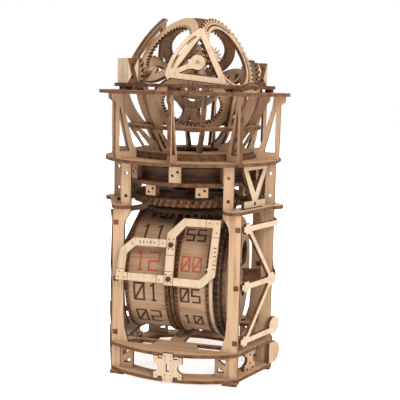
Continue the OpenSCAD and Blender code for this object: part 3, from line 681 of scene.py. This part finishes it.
def build_dial_marks(bm):
    for start, end in DIAL_SCORES:
        ribbon(bm, [Vector(start) * MM, Vector(end) * MM], SCORE_WIDE, on_dial(0, 0), INK_LIFT)
    for u, v in DIAL_DOTS:
        disc(bm, on_dial(u * MM, v * MM), DOT_RADIUS, INK_LIFT)
    for bars, direction in ((HOUR_BARS, Vector((0, 1))), (MINUTE_BARS, Vector((1, 0)))):
        for i, (u, v) in enumerate(bars):
            half = direction * (LONG_BAR if i % 2 else SHORT_BAR)
            ribbon(bm, [-half, half], BAR_WIDE, on_dial(u * MM, v * MM), INK_LIFT)


new_piece("dial_marks", build_dial_marks, black_ink, "frame")


# drilled dots on the front spacer plate, in mm from its middle: dark discs for pin holes, partly charred
# hole walls and partly painted shade inside the holes
SPACER_DOTS = [(x, z) for x in (-10.6, 10.6) for z in (-7.6, 7.6)]
SPACER_DOTS += [(x, z) for x in (-2.6, 2.6) for z in (-10.4, -6.8, 6.8, 10.4)]
SPACER_DOT_RADIUS = 0.5 * MM


def on_front(middle, y, x, z):
    """Lays a drawing on an upright sheet that faces the front at y, x and z metres from its middle."""
    def place(along, up, out):
        return Vector((middle.x + x + along, y - out, middle.z + z + up))
    return place


def build_spacer_dots(bm):
    lo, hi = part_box("front_spacer")
    for x, z in SPACER_DOTS:
        place = on_front((lo + hi) / 2, lo.y, x * MM, z * MM)
        disc(bm, place, SPACER_DOT_RADIUS, INK_LIFT, sides=12)


new_piece("spacer_dots", build_spacer_dots, black_ink, "frame")


# ---------- tabs of the brackets through the rings ----------

TAB_LINE = 0.5 * MM
TABS_PER_RING = 8
# for each ring, how far in from the rim the tabs lie and how long they are
TOP_TABS = (7.5 * MM, 6 * MM)
WAIST_TABS = (6 * MM, 5 * MM)
INNER_TABS = (4.5 * MM, 4.5 * MM)


def on_ring(height, angle, radius):
    """Lays a drawing on a level ring; its first direction points outwards."""
    outwards = Vector((math.cos(angle), math.sin(angle), 0))
    across = Vector((-math.sin(angle), math.cos(angle), 0))
    middle = outwards * radius + Vector((0, 0, height))

    def place(along, up, out):
        return middle + outwards * along + across * up + Vector((0, 0, out))
    return place


def tab_outline(bm, ring_top, angle, tabs):
    """The burnt outline of one tab, in the upper face of a ring whose box ends at ring_top."""
    inset, long = tabs
    u, v = long / 2, PLY / 2
    corners = [(-u, -v), (u, -v), (u, v), (-u, v)]
    place = on_ring(ring_top.z, angle, ring_top.x - inset)
    ribbon(bm, corners, TAB_LINE, place, INK_LIFT, closed=True, step=COARSE_STEP)


def build_ring_tabs(bm):
    _, top_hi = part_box("top_ring")
    _, waist_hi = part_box("waist_ring")
    _, inner_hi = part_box("inner_ring")
    for i in range(TABS_PER_RING):
        angle = i * math.tau / TABS_PER_RING
        between = angle + math.pi / TABS_PER_RING
        tab_outline(bm, top_hi, angle, TOP_TABS)
        tab_outline(bm, waist_hi, between, WAIST_TABS)
        tab_outline(bm, inner_hi, angle, INNER_TABS)


new_piece("ring_tabs", build_ring_tabs, black_ink, "frame")


# ---------- the balance's hairspring ----------

def joint_place(name):
    """Origin and three directions of a joint; the third is its axis."""
    joint = next(j for j in frame["joints"] if j["name"] == name)
    axis = Vector(joint["axis"]).normalized()
    first = axis.orthogonal().normalized()
    return Vector(joint["pos_m"]), first, axis.cross(first), axis


SPRING_TURNS = 4
SPRING_INNER = 2.6 * MM
SPRING_PITCH = 2.1 * MM
SPRING_WIDE = 0.35 * MM
SPRING_HIGH = 1.2 * MM
SPRING_LIFT = 0.6 * MM
POINTS_PER_TURN = 24
SPRING_STEP = 3 * MM


def build_hairspring(bm):
    origin, first, second, axis = joint_place("balance_swing")
    points = []
    for i in range(SPRING_TURNS * POINTS_PER_TURN + 1):
        angle = i * math.tau / POINTS_PER_TURN
        radius = SPRING_INNER + SPRING_PITCH * angle / math.tau
        points.append((radius * math.cos(angle), radius * math.sin(angle)))
    place = on_plane(origin + axis * SPRING_LIFT, first, second, axis)
    ribbon(bm, points, SPRING_WIDE, place, SPRING_HIGH, step=SPRING_STEP)


new_piece("hairspring", build_hairspring, spring_steel, "balance")


# ---------- burnt lines on the cage rings ----------

ARC_COUNT = 3
ARC_SPAN = math.radians(80)
ARC_RADIUS = 30.8 * MM
ARC_WIDE = 1.7 * MM
ARC_PARTS = 20
RIM_LINE_RADIUS = 33.5 * MM
RIM_LINE_WIDE = 0.5 * MM
RIM_LINE_PARTS = 90


def arc_points(radius, start, span, count):
    """Points along an arc, from start through span."""
    turns = [start + span * i / count for i in range(count + 1)]
    return [(radius * math.cos(turn), radius * math.sin(turn)) for turn in turns]


def sheet_places(node, middle):
    """For each sheet of a node, a function that lays a drawing on the face turned away from middle."""
    mesh = nodes[node].data
    normals, areas = normals_and_areas(mesh)
    centers = np.array([polygon.center for polygon in mesh.polygons])
    places = []
    for members in islands(mesh):
        normal = Vector(main_direction(normals[members], areas[members]))
        center = Vector(np.average(centers[members], axis=0, weights=areas[members]))
        if normal.dot(center - middle) < 0:
            normal = -normal
        first = normal.orthogonal().normalized()
        places.append(on_plane(center + normal * PLY / 2, first, normal.cross(first), normal))
    return places


def build_cage_lines(bm):
    middle = joint_place("cage_spin")[0]
    for place in sheet_places("cage_gear_rings", middle):
        for i in range(ARC_COUNT):
            points = arc_points(ARC_RADIUS, i * math.tau / ARC_COUNT, ARC_SPAN, ARC_PARTS)
            ribbon(bm, points, ARC_WIDE, place, INK_LIFT, step=COARSE_STEP)
        rim = arc_points(RIM_LINE_RADIUS, 0, math.tau, RIM_LINE_PARTS)[:-1]
        ribbon(bm, rim, RIM_LINE_WIDE, place, INK_LIFT, closed=True, step=COARSE_STEP)


new_piece("cage_lines", build_cage_lines, black_ink, "cage")


# ---------- floor and light ----------

FLOOR_SIZE = 6.0
FLOOR_CELLS = 8
FLOOR_GAP = 0.2 * MM
FLOOR_GLOW = 0.6
WHITE = (1, 1, 1)
WARM_WHITE = (1.0, 0.975, 0.94)


def make_floor():
    bm = bmesh.new()
    bmesh.ops.create_grid(bm, x_segments=FLOOR_CELLS, y_segments=FLOOR_CELLS, size=FLOOR_SIZE / 2)
    mesh = bpy.data.meshes.new("floor")
    bm.to_mesh(mesh)
    bm.free()
    floor = bpy.data.objects.new("floor", mesh)
    bpy.context.scene.collection.objects.link(floor)
    floor.location.z = cad_box[0].z - FLOOR_GAP
    made, tree, shader = start_material("floor_paper")
    coords = node_of(tree, "ShaderNodeTexCoord").outputs["Object"]
    grain = noise(tree, coords, scale=400, stretch=EVEN, detail=2)
    tree.links.new(ramp(tree, grain, [(0.3, (0.93, 0.93, 0.93)), (0.7, (0.96, 0.96, 0.96))]),
                   shader.inputs["Base Color"])
    shader.inputs["Roughness"].default_value = 0.9
    shader.inputs["Emission Color"].default_value = (*WHITE, 1)
    shader.inputs["Emission Strength"].default_value = FLOOR_GLOW
    mesh.materials.append(made)


def area_light(name, place, aim, size, power, color):
    data = bpy.data.lights.new(name, "AREA")
    data.size = size
    data.energy = power
    data.color = color
    light = bpy.data.objects.new(name, data)
    light.location = place
    light.rotation_euler = (Vector(aim) - Vector(place)).to_track_quat("-Z", "Y").to_euler()
    bpy.context.scene.collection.objects.link(light)


def make_light():
    world = bpy.data.worlds.new("studio")
    world.use_nodes = True
    background = world.node_tree.nodes["Background"]
    background.inputs["Color"].default_value = (*WHITE, 1)
    background.inputs["Strength"].default_value = 1.0
    bpy.context.scene.world = world
    area_light("key", place=(0.9, -1.0, 1.1), aim=(0, 0, 0.16), size=0.7, power=22, color=WARM_WHITE)
    area_light("top", place=(0.1, -0.1, 1.5), aim=(0, 0, 0.2), size=0.9, power=9, color=WHITE)


make_floor()
make_light()
bpy.context.scene.view_settings.view_transform = "Standard"
